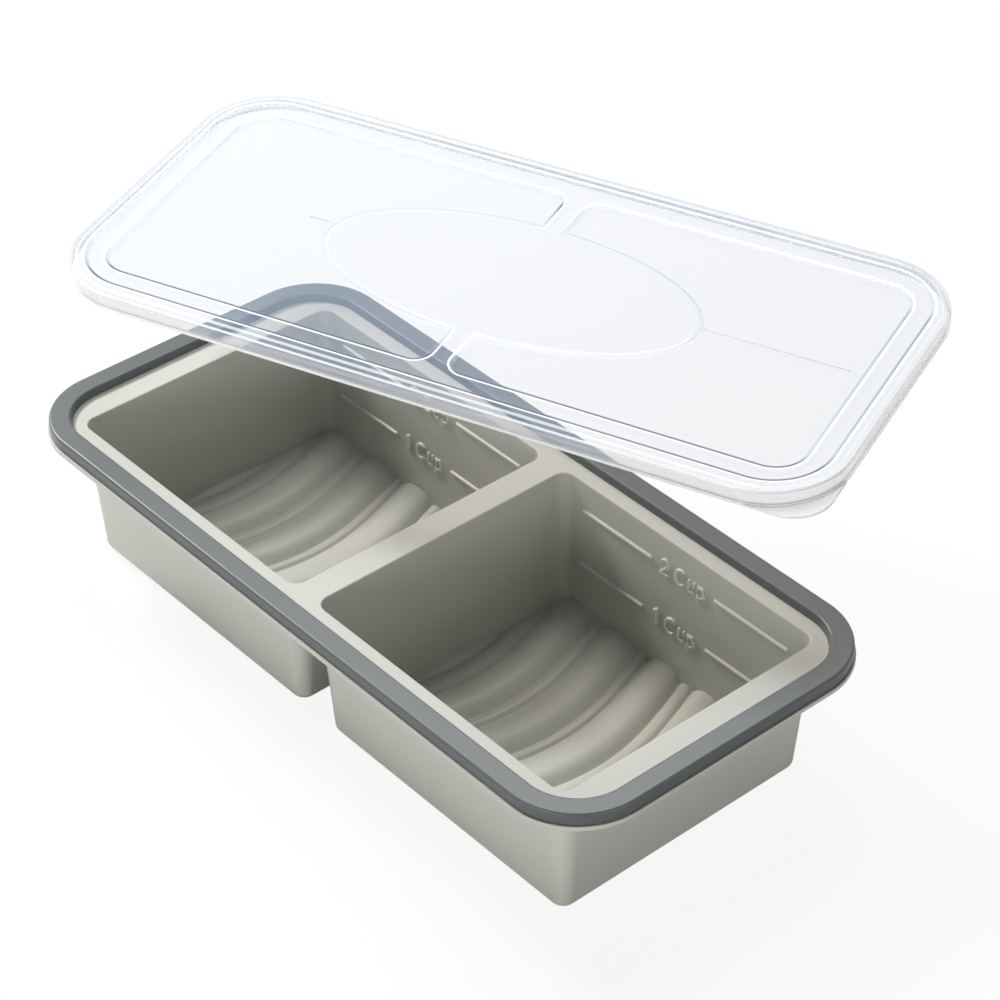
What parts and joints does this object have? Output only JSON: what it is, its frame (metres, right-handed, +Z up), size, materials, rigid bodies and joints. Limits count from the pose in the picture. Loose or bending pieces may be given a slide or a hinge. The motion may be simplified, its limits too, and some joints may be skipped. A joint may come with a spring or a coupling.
{
  "type": "baby food freezer tray",
  "caption": "Flexible silicone freezer tray with deep rib-floored square tubs, a stiff dark rim band, raised volume marks and a clear press-on lid.",
  "frame": {"origin": "midway between the two tubs, on the plane that the tray stands on", "axes": "+X along the tray from one tub to the other, +Y across the tray towards the wall of each tub that carries the volume marks, +Z up"},
  "size_m": [0.3349, 0.2427, 0.1099],
  "materials": {
    "grey_silicone": "satin, slightly translucent moulded silicone",
    "slate_silicone": "satin moulded silicone",
    "steel_strip": "rolled",
    "clear_plastic": "clear, faintly hazy"
  },
  "bodies": {
    "tray": {"tray_moulding": "grey_silicone", "rim_band": "slate_silicone", "rim_frame": "steel_strip"},
    "lid": {"lid": "clear_plastic"}
  },
  "joints": [
    {"name": "lid_lift", "type": "slide", "parent": "tray", "child": "lid", "axis": [0, 0, 1], "range_m": [-0.04, 0.06]}
  ]
}
